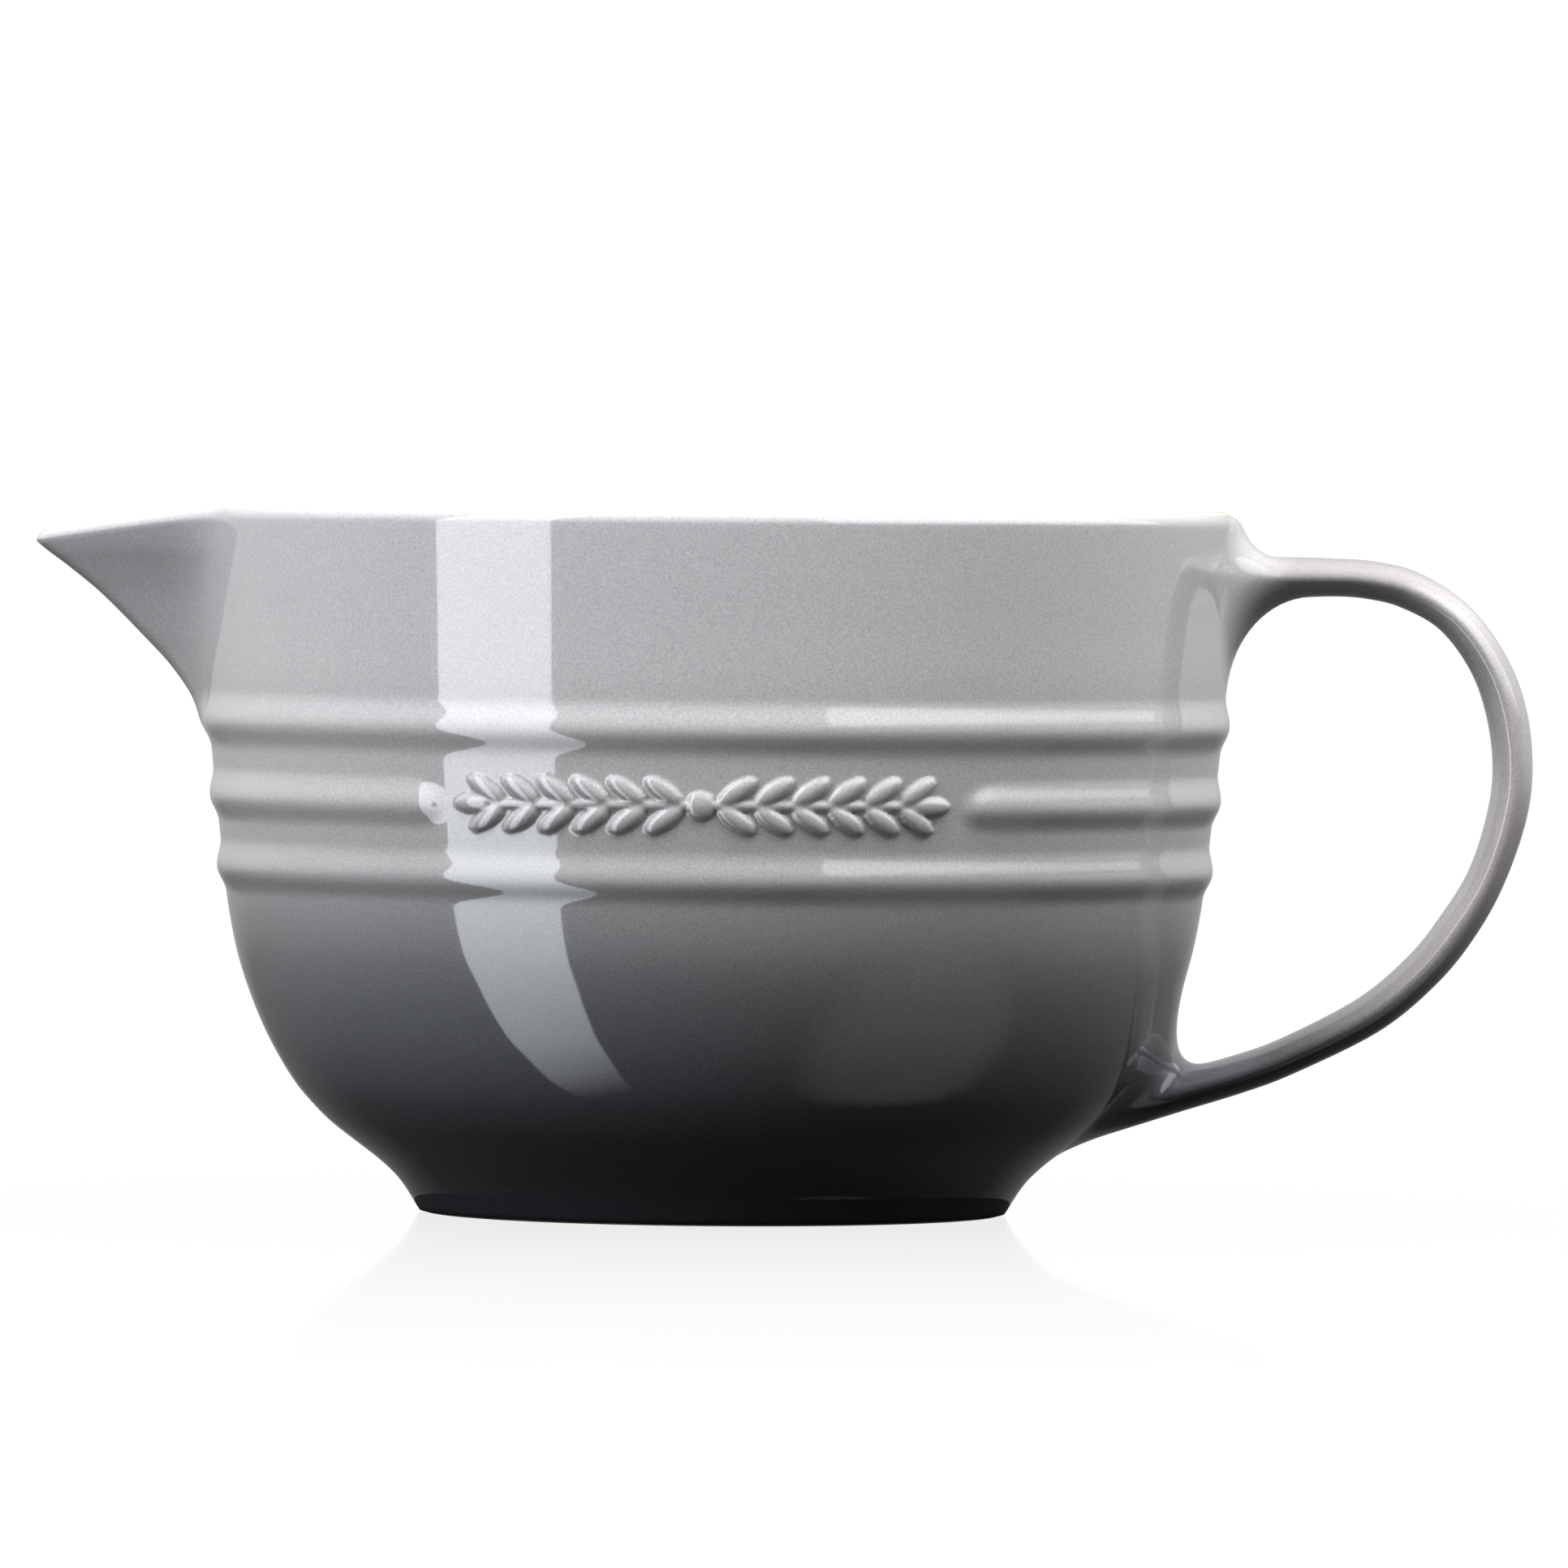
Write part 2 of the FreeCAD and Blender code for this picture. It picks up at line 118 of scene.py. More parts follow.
# Flares where the handle meets the wall: how far out from the wall they start,
# and how far they spread over it, on the outer edge, the flanks and the inner edge.
UPPER_FLARE = {"outer": (8.5, 13.0), "flank": (12.0, 11.0), "inner": (14.5, 18.5)}
LOWER_FLARE = {"outer": (4.0, 3.5), "flank": (9.0, 9.0), "inner": (11.0, 26.0)}
ROOT_DEPTH = 2.5           # how far the handle's ends go into the wall
ROOT_TOP = 129.3           # the upper flare stops just under the top of the rim
ROOT_SOFT = 2.5


# -------------------------------------------------------------------- formulas
def curve(outline, at):
    """Smooth curve through (position, value) pairs, for an array of positions."""
    xs = np.array([p[0] for p in outline], float)
    ys = np.array([p[1] for p in outline], float)
    slopes = np.empty_like(xs)
    slopes[1:-1] = (ys[2:] - ys[:-2]) / (xs[2:] - xs[:-2])
    slopes[0] = (ys[1] - ys[0]) / (xs[1] - xs[0])
    slopes[-1] = (ys[-1] - ys[-2]) / (xs[-1] - xs[-2])
    at = np.asarray(at, float)
    k = np.clip(np.searchsorted(xs, at, side="right") - 1, 0, len(xs) - 2)
    span = xs[k + 1] - xs[k]
    t = (at - xs[k]) / span
    return (
        (1 + 2 * t) * (1 - t) ** 2 * ys[k]
        + t * (1 - t) ** 2 * span * slopes[k]
        + t * t * (3 - 2 * t) * ys[k + 1]
        + t * t * (t - 1) * span * slopes[k + 1]
    )


def smooth_step(t):
    t = np.clip(t, 0, 1)
    return t * t * (3 - 2 * t)


def band(shape, z):
    crest, below, above, rise = shape
    away = np.where(z < crest, (crest - z) / below, (z - crest) / above)
    return rise * np.cos(np.pi / 2 * np.clip(away, 0, 1)) ** 2


def turn_from(degrees, centre):
    """Signed angle from a direction, between -180 and 180."""
    return (degrees - centre + 180) % 360 - 180


def middle_share(degrees, z):
    """The middle band's strength: it ends in rounded noses either side of the ornament."""
    away = np.abs(turn_from(degrees, WINDOW_CENTRE)) - WINDOW_HALF
    crest, below, above, _rise = MIDDLE_BAND
    across = (z - crest) / (0.5 * (below + above))
    nose = BAND_END * (1 - np.sqrt(np.clip(1 - across ** 2, 0, 1)))
    return smooth_step((away - nose) / BAND_END + BAND_END_SHIFT)


def grain_height(along, up, centre, tilt, half_length, half_width, rise):
    """Height of a seed-shaped bump at places along and up the wall."""
    x = along - centre[0]
    y = up - centre[1]
    u = (x * math.cos(tilt) + y * math.sin(tilt)) / half_length
    v = (-x * math.sin(tilt) + y * math.cos(tilt)) / half_width
    width = np.clip(1 - np.abs(u) ** 2.2, 0, None)
    inside = np.clip(width - v * v, 0, None)
    return rise * inside ** 0.42


MOTIF_HEIGHT = 76.8
MOTIF_RADIUS = 92.0        # turns degrees round the bowl into a length
MOTIF_PITCH = 6.6
MOTIF_PAIRS = 6
FIRST_PAIR = 3.2
LAST_GRAIN = 2.4           # centre of the end grain, past the last pair
GRAIN_LENGTH = 8.0
GRAIN_LIFT = 0.3
GRAIN_TILT = math.radians(34)
GRAIN_WIDTH = 1.7
GRAIN_RISE = 1.15
STEM_HALF_WIDTH = 0.95
STEM_RISE = 0.7
BUD_RADIUS = 2.6
BUD_RISE = 1.3


def ornament(degrees, z):
    """Two ears of grain running away from a centre bud, in soft relief."""
    along = np.radians(turn_from(degrees, WINDOW_CENTRE)) * MOTIF_RADIUS
    up = z - MOTIF_HEIGHT
    heights = []
    reach = MOTIF_PITCH * MOTIF_PAIRS
    stem = np.clip(1 - (up / STEM_HALF_WIDTH) ** 2, 0, None) ** 0.5 * STEM_RISE
    heights.append(stem * (np.abs(along) < reach))
    heights.append(grain_height(along, up, (0, 0), 0, BUD_RADIUS, BUD_RADIUS, BUD_RISE))
    for way in (1, -1):
        for pair in range(MOTIF_PAIRS):
            root = FIRST_PAIR + MOTIF_PITCH * pair
            x = way * (root + GRAIN_LENGTH / 2 * math.cos(GRAIN_TILT))
            y = GRAIN_LIFT + GRAIN_LENGTH / 2 * math.sin(GRAIN_TILT)
            for side in (1, -1):
                heights.append(grain_height(
                    along, up, (x, side * y), way * side * GRAIN_TILT,
                    GRAIN_LENGTH / 2, GRAIN_WIDTH, GRAIN_RISE,
                ))
        heights.append(grain_height(
            along, up, (way * (reach + LAST_GRAIN), 0), 0,
            GRAIN_LENGTH / 2, GRAIN_WIDTH, GRAIN_RISE,
        ))
    return np.max(heights, axis=0)


def plain_wall(z):
    return curve(WALL, z)


def round_wall(degrees, z, level):
    """Outside radius of the round bowl; level steps square off the surface."""
    def shape(height):
        return (
            plain_wall(height)
            + band(LOW_BAND, height)
            + band(HIGH_BAND, height)
            + band(MIDDLE_BAND, height) * middle_share(degrees, height)
        )

    slope = (shape(z + 0.05) - shape(z - 0.05)) / 0.1
    raised = ornament(degrees, z) if level == 0 else 0
    return shape(z) + raised + level * np.hypot(1, slope)


def vee(angle, centre, nose):
    """Distance along a level ray to a rounded V whose nose circle sits at centre."""
    sine = math.sin(SPOUT_HALF_ANGLE)
    cosine = math.cos(SPOUT_HALF_ANGLE)
    tangent = np.arctan2(nose * cosine, centre + nose * sine)
    square = np.clip(nose ** 2 - (centre * np.sin(angle)) ** 2, 0, None)
    tip = centre * np.cos(angle) + np.sqrt(square)
    side = (nose + centre * sine) / (sine * np.cos(angle) + cosine * np.sin(angle))
    return np.where(angle <= tangent, tip, side)


def blended(a, b):
    """The larger of two radii, with a soft crease where they cross."""
    share = np.clip(SPOUT_BLEND - np.abs(a - b), 0, None) / SPOUT_BLEND
    return np.maximum(a, b) + share * share * SPOUT_BLEND / 4


def off_spout(degrees):
    """Angle away from the spout's middle, in radians."""
    return np.radians(np.minimum(np.abs(turn_from(degrees, 180)), SPOUT_REACH))


def keel(z):
    return curve(KEEL, np.clip(z, KEEL_FOOT, KEEL_TOP))


def outside(degrees, z, level=0.0):
    """Outside radius of bowl and spout together."""
    centre = keel(z) - SPOUT_NOSE
    nose = SPOUT_NOSE + level / SPOUT_LEAN
    reach = np.where(z > KEEL_FOOT, vee(off_spout(degrees), centre, nose), 0)
    return blended(round_wall(degrees, z, level), reach)


def inside(degrees, z, level=0.0):
    """Inside radius of bowl and spout together."""
    step = (SPOUT_WALL + SPOUT_NOSE_INSIDE - SPOUT_NOSE) / math.sin(SPOUT_HALF_ANGLE)
    centre = keel(z) - SPOUT_NOSE - step
    nose = SPOUT_NOSE_INSIDE - level / SPOUT_LEAN
    reach = np.where(z > KEEL_FOOT, vee(off_spout(degrees), centre, nose), 0)
    return blended(curve(LINER, z) - level, reach)


def rim_spring(degrees):
    """Height at which the rim's rounding starts, which falls towards the spout's tip."""
    level = np.full_like(degrees, SPOUT_DROP_AT)
    return SPRING - SPOUT_DROP * (outside(degrees, level) - round_wall(degrees, level, 0))


# ---------------------------------------------------------------- mesh helpers
def make_piece(name, points, faces, material):
    mesh = bpy.data.meshes.new(name)
    mesh.from_pydata([tuple(p) for p in points], [], faces)
    mesh.validate()
    mesh.shade_smooth()
    piece = bpy.data.objects.new(name, mesh)
    bpy.context.scene.collection.objects.link(piece)
    mesh.materials.append(material)
    return piece


def ring_faces(rows, columns, close_rows):
    """Quads between rows of points that run round in columns."""
    faces = []
    last = rows if close_rows else rows - 1
    for j in range(last):
        low = j * columns
        high = ((j + 1) % rows) * columns
        for i in range(columns):
            n = (i + 1) % columns
            faces.append((low + i, low + n, high + n, high + i))
    return faces


def spaced(stops):
    """Positions from (start, step) stops; the last stop's start is the end."""
    values = []
    for (start, step), (end, _next) in zip(stops, stops[1:]):
        count = max(1, round((end - start) / step))
        values += [start + (end - start) * k / count for k in range(count)]
    return np.array(values)


# Directions round the bowl in degrees, close together at the ornament and the spout.
COLUMNS = spaced([
    (-125, 0.3), (-56, 2.0), (156, 0.75), (173, 0.3), (187, 0.75), (204, 2.0), (235, 0),
])


def to_points(radius, z):
    """Rows of radius and height over all columns, as one list of points in metres."""
    turn = np.radians(COLUMNS)
    x = radius * np.cos(turn)
    y = radius * np.sin(turn)
    return np.stack([x, y, np.broadcast_to(z, radius.shape)], -1).reshape(-1, 3) * MM


def rim_rows(level, turns):
    """Rows over the rounding of the rim, from 0 degrees outside to 180 inside."""
    spring = rim_spring(COLUMNS)
    outer = outside(COLUMNS, spring, level)
    inner = inside(COLUMNS, spring, level)
    middle = (outer + inner) / 2
    half = (outer - inner) / 2
    turn = np.radians(np.array(turns, float))[:, None]
    return middle + half * np.cos(turn), spring + (RIM_ROUND + level) * np.sin(turn)


def upper_heights(fractions):
    """Heights from the foot of the spout to the rim, one row for each fraction."""
    spring = rim_spring(COLUMNS)
    return SPOUT_LOW + (spring - SPOUT_LOW) * np.array(fractions)[:, None]


def outside_rows(level, low_stops, fractions):
    """Rows up the outside; the upper ones are fractions of the way to the rim."""
    low = spaced(low_stops)[:, None] + np.zeros_like(COLUMNS)
    z = np.concatenate([low, upper_heights(fractions)])
    degrees = np.broadcast_to(COLUMNS, z.shape)
    return outside(degrees, z, level), z


# Heights of the lower rows as (start, step) stops, for the face and the hidden back.
FINE_STOPS = [(0.3, 1.0), (24, 1.6), (57, 0.7), (69.5, 0.36), (SPOUT_LOW, 0)]
COARSE_STOPS = [(0.3, 4.0), (57, 2.3), (SPOUT_LOW, 0)]
LINER_STOPS = [(47.5, 3.5), (SPOUT_LOW, 0)]


def outside_coat(material):
    """The grey coat on the bowl and the outside of its spout, ornament included."""
    radius, z = outside_rows(0.0, FINE_STOPS, np.linspace(0, 1, 56)[:-1])
    rim_radius, rim_z = rim_rows(0.0, np.linspace(0, RIM_COLOUR_BREAK, 9))
    back_radius, back_z = outside_rows(-GLAZE, COARSE_STOPS, np.linspace(0, 1, 20)[:-1])
    back_rim_radius, back_rim_z = rim_rows(-GLAZE, np.linspace(0, RIM_COLOUR_BREAK, 5))
    radii = np.concatenate([radius, rim_radius, back_rim_radius[::-1], back_radius[::-1]])
    heights = np.concatenate([z, rim_z, back_rim_z[::-1], back_z[::-1]])
    faces = ring_faces(len(radii), len(COLUMNS), True)
    return make_piece("outside_glaze", to_points(radii, heights), faces, material)


def inside_rows(level, floor_count, fractions):
    """From the middle of the floor up the inside wall, pole row left out."""
    t = np.linspace(0, 1, floor_count + 1)[1:]
    index = t * (len(FLOOR) - 1)
    radius = curve([(k, place[0]) for k, place in enumerate(FLOOR)], index)
    z = curve([(k, place[1]) for k, place in enumerate(FLOOR)], index)
    run = np.gradient(radius)
    climb = np.gradient(z)
    length = np.hypot(run, climb)
    radius, z = radius - level * climb / length, z + level * run / length
    flat = np.zeros_like(COLUMNS)
    low_radius = radius[:, None] + flat
    low_z = z[:, None] + flat
    wall_z = spaced(LINER_STOPS)[:, None] + flat
    join = [(FLOOR[-1][1], FLOOR[-1][0])] + LINER[:4]
    wall_radius = curve(join, wall_z) - level
    high_z = upper_heights(fractions)
    degrees = np.broadcast_to(COLUMNS, high_z.shape)
    high_radius = inside(degrees, high_z, level)
    return (
        np.concatenate([low_radius, wall_radius, high_radius]),
        np.concatenate([low_z, wall_z, high_z]),
    )


def inside_coat(material):
    """The cream liner: floor, inside wall, spout channel and the top of the rim."""
    radius, z = inside_rows(0.0, 26, np.linspace(0, 1, 30)[:-1])
    rim_radius, rim_z = rim_rows(0.0, np.linspace(180, RIM_COLOUR_BREAK, 15))
    back_radius, back_z = inside_rows(-GLAZE, 14, np.linspace(0, 1, 14)[:-1])
    back_rim_radius, back_rim_z = rim_rows(-GLAZE, np.linspace(180, RIM_COLOUR_BREAK, 8))
    radii = np.concatenate([radius, rim_radius, back_rim_radius[::-1], back_radius[::-1]])
    heights = np.concatenate([z, rim_z, back_rim_z[::-1], back_z[::-1]])
    points = list(to_points(radii, heights))
    columns = len(COLUMNS)
    rows = len(radii)
    faces = [tuple(reversed(f)) for f in ring_faces(rows, columns, False)]
    points.append((0, 0, FLOOR[0][1] * MM))
    points.append((0, 0, (FLOOR[0][1] - GLAZE) * MM))
    top, bottom = len(points) - 2, len(points) - 1
    last = (rows - 1) * columns
    for i in range(columns):
        n = (i + 1) % columns
        faces.append((top, i, n))
        faces.append((bottom, last + n, last + i))
    return make_piece("liner_glaze", points, faces, material)


# --------------------------------------------------------------------- handle
def bar_station(s):
    """Centre, across direction, half depth and half width at places along the handle."""
    columns = [curve([(k, row[c]) for k, row in enumerate(HANDLE)], s) for c in range(5)]
    outer = np.stack([columns[0], columns[1]], -1)
    inner = np.stack([columns[2], columns[3]], -1)
    across = outer - inner
    depth = np.linalg.norm(across, axis=-1)
    return (outer + inner) / 2, across / depth[..., None], depth / 2, columns[4]


def bar_point(s, turn):
    """Point and outward direction on the bare bar, as x, y, z in millimetres."""
    centre, across, depth, width = bar_station(s)
    cosine = np.cos(turn)
    sine = np.sin(turn)
    place = centre + across * (depth * cosine)[..., None]
    point = np.stack([place[..., 0], width * sine, place[..., 1]], -1)
    outward = np.stack([across[..., 0] * cosine, sine, across[..., 1] * cosine], -1)
    return point, outward


def wall_and_rim(z):
    """Outside radius on the handle's side, carried on over the rim's rounding."""
    degrees = np.zeros_like(z)
    low = round_wall(degrees, np.clip(z, 0.3, SPRING), 0.0)
    half = (round_wall(0.0, SPRING, 0.0) - curve(LINER, SPRING)) / 2
    share = np.clip((z - SPRING) / RIM_ROUND, 0, 0.97)
    return low - half * (1 - np.sqrt(1 - share ** 2))


def gap_to_wall(point):
    """How far out a point stands from the wall, below zero inside it."""
    radius = np.hypot(point[..., 0], point[..., 1])
    return radius - wall_and_rim(point[..., 2])


def flare_size(flare, turn):
    """Start distance and spread of a flare round the section."""
    outer = np.clip(np.cos(turn), 0, 1) ** 2
    inner = np.clip(-np.cos(turn), 0, 1) ** 2
    flank = np.sin(turn) ** 2
    return [
        outer * flare["outer"][k] + inner * flare["inner"][k] + flank * flare["flank"][k]
        for k in (0, 1)
    ]


def flared(point, outward, turn, upper):
    """Slide points near the wall along it, in a quarter ellipse that meets it smoothly."""
    gap = gap_to_wall(point)
    start_up, spread_up = flare_size(UPPER_FLARE, turn)
    start_low, spread_low = flare_size(LOWER_FLARE, turn)
    start = np.where(upper, start_up, start_low)
    spread = np.where(upper, spread_up, spread_low)
    share = np.clip(1 - gap / start, 0, 1)
    slide = spread * (1 - np.sqrt(np.clip(1 - share ** 2, 0, 1)))
    radius = np.hypot(point[..., 0], point[..., 1])
    z = point[..., 2]
    slope = wall_and_rim(z + 0.5) - wall_and_rim(z - 0.5)
    normal = np.stack([point[..., 0] / radius, point[..., 1] / radius, -slope], -1)
    normal /= np.linalg.norm(normal, axis=-1)[..., None]
    along = outward - normal * np.sum(outward * normal, -1)[..., None]
    along /= np.maximum(np.linalg.norm(along, axis=-1), 0.2)[..., None]
    moved = point + along * slide[..., None]
    over = np.clip(moved[..., 2] - (ROOT_TOP - ROOT_SOFT), 0, None)
    moved[..., 2] += np.where(over > 0, ROOT_SOFT * np.tanh(over / ROOT_SOFT) - over, 0)
    new_radius = np.hypot(moved[..., 0], moved[..., 1])
    wanted = wall_and_rim(moved[..., 2]) + gap
    scale = np.where(slide > 1e-6, wanted / new_radius, 1.0)
    moved[..., 0] *= scale
    moved[..., 1] *= scale
    return moved


AROUND = 80                # points round the handle, then rows along it
FLARE_ROWS = 18
BAR_ROWS = 150
HALVINGS = 34              # steps in the search for a distance from the wall
UPPER_SEARCH = 7.0         # stations searched from each end of the handle
LOWER_SEARCH = 8.0


def place_at_gap(turn, start, end, gap):
    """Where along the bar each line of it stands this far out from the wall."""
    low = np.full_like(turn, start)
    high = np.full_like(turn, end)
    for _ in range(HALVINGS):
        middle = (low + high) / 2
        point, _outward = bar_point(middle, turn)
        nearer = gap_to_wall(point) < gap
        low = np.where(nearer, middle, low)
        high = np.where(nearer, high, middle)
    return (low + high) / 2


def flare_places(turn, start, end, flare):
    """Rows from just inside the wall out to where the flare starts."""
    begins, _spread = flare_size(flare, turn)
    rows = [place_at_gap(turn, start, end, -ROOT_DEPTH + 0 * turn)]
    for climb in np.linspace(np.pi / 2, 0, FLARE_ROWS):
        rows.append(place_at_gap(turn, start, end, begins * (1 - np.sin(climb))))
    return rows


def handle(material):
    """The glazed loop, flared into the wall at both roots."""
    turn = np.linspace(0, 2 * np.pi, AROUND, endpoint=False)
    last = len(HANDLE) - 1
    top = flare_places(turn, 0.0, UPPER_SEARCH, UPPER_FLARE)
    bottom = flare_places(turn, float(last), last - LOWER_SEARCH, LOWER_FLARE)
    share = np.linspace(0, 1, BAR_ROWS)[1:-1]
    bar = [top[-1] + (bottom[-1] - top[-1]) * k for k in share]
    s = np.array(top + bar + bottom[::-1])
    turns = np.broadcast_to(turn, s.shape)
    point, outward = bar_point(s, turns)
    moved = flared(point, outward, turns, s < len(HANDLE) / 2)
    points = list(moved.reshape(-1, 3) * MM)
    rows = len(s)
    faces = [tuple(reversed(f)) for f in ring_faces(rows, AROUND, False)]
    for row, flip in ((0, False), (rows - 1, True)):
        ring = list(range(row * AROUND, (row + 1) * AROUND))
        x, y, z = np.mean([points[k] for k in ring], axis=0) / MM
        # The middle of each end follows the curve of the wall, just under its surface.
        depth = (plain_wall(z) - ROOT_DEPTH) / math.hypot(x, y)
        points.append((x * depth * MM, y * depth * MM, z * MM))
        centre = len(points) - 1
        for i in range(AROUND):
            a, b = ring[i], ring[(i + 1) % AROUND]
            faces.append((centre, b, a) if flip else (centre, a, b))
    loop = make_piece("handle_glazed", points, faces, material)
    # A crease where each end dips into the wall keeps the shading of the flares true.
    for edge in loop.data.edges:
        first, second = (vertex // AROUND for vertex in edge.vertices)
        edge.use_edge_sharp = first == second and first in (1, rows - 2)
    return loop


# ------------------------------------------------------------------ materials
def new_material(name):
    material = bpy.data.materials.new(name)
    material.use_nodes = True
    nodes = material.node_tree.nodes
    links = material.node_tree.links
    shader = nodes["Principled BSDF"]
    return material, nodes, links, shader


def ramp(nodes, stops):
    node = nodes.new("ShaderNodeValToRGB")
    elements = node.color_ramp.elements
    while len(elements) < len(stops):
        elements.new(0.5)
    for element, (place, colour) in zip(elements, stops):
        element.position = place
        element.color = (*colour, 1)
    return node


def height_share(nodes, links, low, high):
    """0 at the low height and 1 at the high one, in metres above the table."""
    place = nodes.new("ShaderNodeTexCoord")
    split = nodes.new("ShaderNodeSeparateXYZ")
    links.new(place.outputs["Object"], split.inputs[0])
    share = nodes.new("ShaderNodeMapRange")
    share.inputs["From Min"].default_value = low
    share.inputs["From Max"].default_value = high
    links.new(split.outputs["Z"], share.inputs["Value"])
    return place, share


def speckle(nodes, links, place, scale, low, high):
    """Fine grain between a low and a high value."""
    noise = nodes.new("ShaderNodeTexNoise")
    noise.inputs["Scale"].default_value = scale
    noise.inputs["Detail"].default_value = 2
    links.new(place.outputs["Object"], noise.inputs["Vector"])
    share = nodes.new("ShaderNodeMapRange")
    share.inputs["From Min"].default_value = 0.3
    share.inputs["From Max"].default_value = 0.7
    share.inputs["To Min"].default_value = low
    share.inputs["To Max"].default_value = high
    links.new(noise.outputs["Fac"], share.inputs["Value"])
    return share


# The grey glaze from the foot to the rim: share of the height, colour.
BOWL_STOPS = [
    (0.000, (0.0280, 0.0290, 0.0330)),
    (0.060, (0.0310, 0.0320, 0.0365)),
    (0.120, (0.0400, 0.0413, 0.0465)),
    (0.185, (0.0790, 0.0810, 0.0890)),
    (0.246, (0.1120, 0.1140, 0.1220)),
    (0.308, (0.1320, 0.1340, 0.1410)),
    (0.370, (0.1640, 0.1650, 0.1710)),
    (0.430, (0.2280, 0.2270, 0.2330)),
    (0.510, (0.3250, 0.3190, 0.3250)),
    (0.620, (0.3850, 0.3730, 0.3820)),
    (1.000, (0.4050, 0.3910, 0.4050)),
]
# The handle is sprayed more evenly, and it is dark at its lower root. The lighter band at the
# upper bend is a painted highlight, and the darker top run is painted shade for the bowl's
# shadow.
HANDLE_STOPS_WITH_PAINTED_LIGHT = [
    (0.00, (0.0200, 0.0200, 0.0220)),
    (0.16, (0.0300, 0.0300, 0.0330)),
    (0.22, (0.0650, 0.0640, 0.0670)),
    (0.28, (0.1400, 0.1350, 0.1390)),
    (0.34, (0.2300, 0.2180, 0.2250)),
    (0.42, (0.3000, 0.2830, 0.2920)),
    (0.60, (0.3300, 0.3110, 0.3220)),
    (0.80, (0.3300, 0.3120, 0.3230)),
    # Painted highlight at the upper bend, then painted shade along the top run.
    (0.86, (0.4000, 0.3790, 0.3920)),
    (0.90, (0.3000, 0.2850, 0.2940)),
    (0.935, (0.2050, 0.1950, 0.2020)),
    (1.00, (0.2050, 0.1950, 0.2020)),
]


GLAZE_HEIGHT = 0.130
NEAR_WALL = 0.096          # from here out to FAR_FROM_WALL the far colours take over
FAR_FROM_WALL = 0.108


def grey_glaze(name, stops, far_stops=None):
    """Glossy grey glaze with fine grain; far_stops take over away from the bowl's wall."""
    material, nodes, links, shader = new_material(name)
    place, share = height_share(nodes, links, 0.0, GLAZE_HEIGHT)
    shade = ramp(nodes, stops)
    links.new(share.outputs["Result"], shade.inputs["Fac"])
    colour = shade.outputs["Color"]
    if far_stops:
        far_shade = ramp(nodes, far_stops)
        links.new(share.outputs["Result"], far_shade.inputs["Fac"])
        level = nodes.new("ShaderNodeVectorMath")
        level.operation = "MULTIPLY"
        level.inputs[1].default_value = (1, 1, 0)
        links.new(place.outputs["Object"], level.inputs[0])
        reach = nodes.new("ShaderNodeVectorMath")
        reach.operation = "LENGTH"
        links.new(level.outputs["Vector"], reach.inputs[0])
        far = nodes.new("ShaderNodeMapRange")
        far.interpolation_type = "SMOOTHSTEP"
        far.inputs["From Min"].default_value = NEAR_WALL
        far.inputs["From Max"].default_value = FAR_FROM_WALL
        links.new(reach.outputs["Value"], far.inputs["Value"])
        mix = nodes.new("ShaderNodeMixRGB")
        links.new(far.outputs["Result"], mix.inputs["Fac"])
        links.new(colour, mix.inputs["Color1"])
        links.new(far_shade.outputs["Color"], mix.inputs["Color2"])
        colour = mix.outputs["Color"]
    grain = speckle(nodes, links, place, 2600, 0.86, 1.14)
    tone = nodes.new("ShaderNodeVectorMath")
    tone.operation = "SCALE"
    links.new(colour, tone.inputs[0])
    links.new(grain.outputs["Result"], tone.inputs["Scale"])
    links.new(tone.outputs["Vector"], shader.inputs["Base Color"])
    shader.inputs["Roughness"].default_value = 0.045
    shader.inputs["IOR"].default_value = 1.58
    return material


def cream_glaze():
    material, nodes, links, shader = new_material("cream_glaze")
    place = nodes.new("ShaderNodeTexCoord")
    grain = speckle(nodes, links, place, 900, 0.97, 1.02)
    tone = nodes.new("ShaderNodeVectorMath")
    tone.operation = "SCALE"
    tone.inputs[0].default_value = (0.61, 0.565, 0.48)
    links.new(grain.outputs["Result"], tone.inputs["Scale"])
    links.new(tone.outputs["Vector"], shader.inputs["Base Color"])
    shader.inputs["Roughness"].default_value = 0.09
    shader.inputs["IOR"].default_value = 1.5
    return material


def clay(name, colour):
    material, nodes, links, shader = new_material(name)
    place = nodes.new("ShaderNodeTexCoord")
    grain = speckle(nodes, links, place, 1400, 0.86, 1.08)
    tone = nodes.new("ShaderNodeVectorMath")
    tone.operation = "SCALE"
    tone.inputs[0].default_value = colour
    links.new(grain.outputs["Result"], tone.inputs["Scale"])
    links.new(tone.outputs["Vector"], shader.inputs["Base Color"])
    shader.inputs["Roughness"].default_value = 0.8
    return material


# ------------------------------------------------------------------- the bowl
grey = grey_glaze("grey_glaze", BOWL_STOPS)
# Away from the wall the handle's glaze takes on its painted highlight and painted shade.
handle_grey = grey_glaze("handle_glaze_with_painted_light", BOWL_STOPS, HANDLE_STOPS_WITH_PAINTED_LIGHT)
cream = cream_glaze()
stoneware = clay("stoneware_clay", (0.56, 0.44, 0.31))
slip = clay("joint_slip", (0.50, 0.38, 0.27))

outer = outside_coat(grey)
liner = inside_coat(cream)
loop = handle(handle_grey)

for piece, slot_name, nodes_replaced in (
    (outer, "grey_glaze", ("exterior_glaze", "relief_sprig")),
    (liner, "cream_glaze", ("interior_glaze",)),
    (loop, "grey_glaze", ("handle_glaze", "handle", "handle_upper_lute", "handle_lower_lute")),
):
    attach(piece, "root")
    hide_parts(*nodes_replaced)

for node, material in (
    ("bowl_body", stoneware), ("spout", stoneware), ("spout_lute", slip), ("base_glaze", grey),
):
    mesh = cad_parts[node].data
    mesh.materials.clear()
    mesh.materials.append(material)


